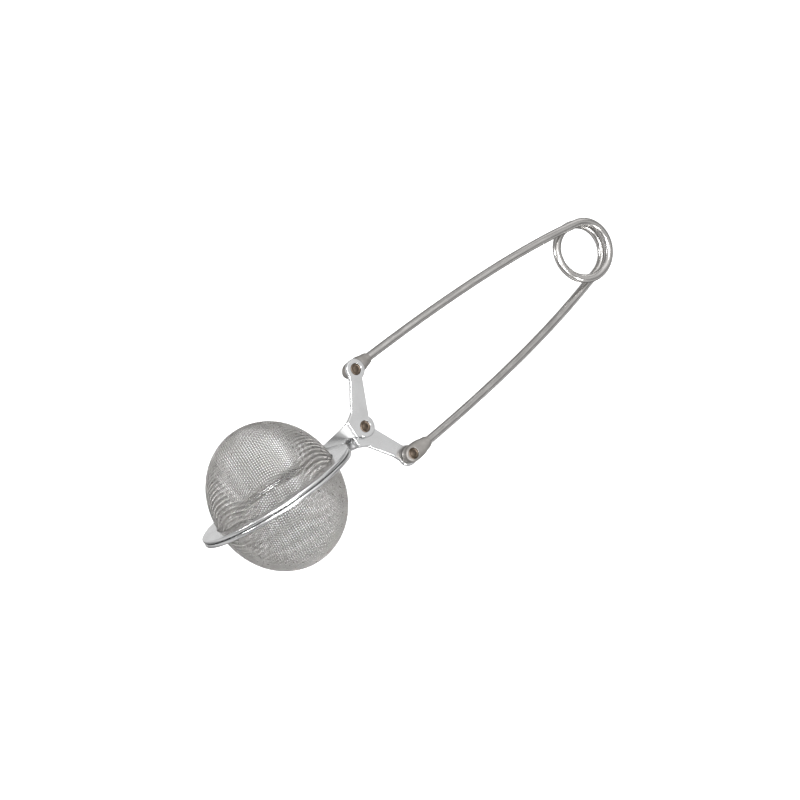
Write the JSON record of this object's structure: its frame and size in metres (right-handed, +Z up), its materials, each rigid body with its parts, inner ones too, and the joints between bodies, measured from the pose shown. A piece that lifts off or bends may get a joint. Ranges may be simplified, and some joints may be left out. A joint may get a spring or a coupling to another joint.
{
  "type": "tea infuser",
  "caption": "Tongs-style tea infuser: two woven wire bowls on hinged jaws form a ball, opened by squeezing a long sprung wire handle.",
  "frame": {"origin": "on the table under the middle of the tool as it lies: on the lower bowl, the edge of the lower rim and the handle end", "axes": "+Z up, +X along the tool from the bowls to the spring coil; the hinge axis leans down and away, 53 degrees from level"},
  "size_m": [0.1818, 0.0472, 0.0456],
  "materials": {
    "jaw_steel": "bright satin pressed stainless steel",
    "mesh_steel": "fine plain-weave stainless wire cloth",
    "rivet_steel": "dull, slightly bronzed rivet steel",
    "ferrule_steel": "matt tumbled steel",
    "wire_steel": "polished drawn spring wire"
  },
  "bodies": {
    "lower_jaw": {"lower_jaw_frame": "jaw_steel", "lower_mesh_bowl": "mesh_steel", "lower_retaining_ring": "jaw_steel", "hinge_rivet": "rivet_steel", "hinge_washer": "jaw_steel"},
    "upper_jaw": {"upper_jaw_frame": "jaw_steel", "upper_mesh_bowl": "mesh_steel", "upper_retaining_ring": "jaw_steel", "upper_pivot_rivet": "rivet_steel"},
    "upper_leg": {"upper_ferrule": "ferrule_steel", "upper_handle_leg": "wire_steel", "spring_coil": "wire_steel"},
    "lower_leg": {"lower_ferrule": "ferrule_steel", "lower_handle_leg": "wire_steel", "lower_pivot_rivet": "rivet_steel"}
  },
  "joints": [
    {"name": "jaw_hinge", "type": "hinge", "parent": "lower_jaw", "child": "upper_jaw", "pos_m": [-0.02317, 0, 0.01914], "axis": [-0.0733, 0.593, -0.8019], "range_deg": [0, 60], "stiffness_Nm_per_rad": 0.12, "springref_deg": -22.92},
    {"name": "upper_leg_pivot", "type": "hinge", "parent": "upper_jaw", "child": "upper_leg", "pos_m": [-0.01364, 0.01315, 0.02799], "axis": [-0.0733, 0.593, -0.8019], "range_deg": [-34, 0]},
    {"name": "coil_flex", "type": "hinge", "parent": "upper_leg", "child": "lower_leg", "pos_m": [0.0804, 0, 0.00967], "axis": [-0.0733, 0.593, -0.8019], "range_deg": [0, 8], "deforming": ["spring_coil"]}
  ],
  "couplings": [
    {"joint": "upper_leg_pivot", "follows": "jaw_hinge", "ratio": -0.5651},
    {"joint": "coil_flex", "follows": "jaw_hinge", "ratio": 0.13021}
  ]
}
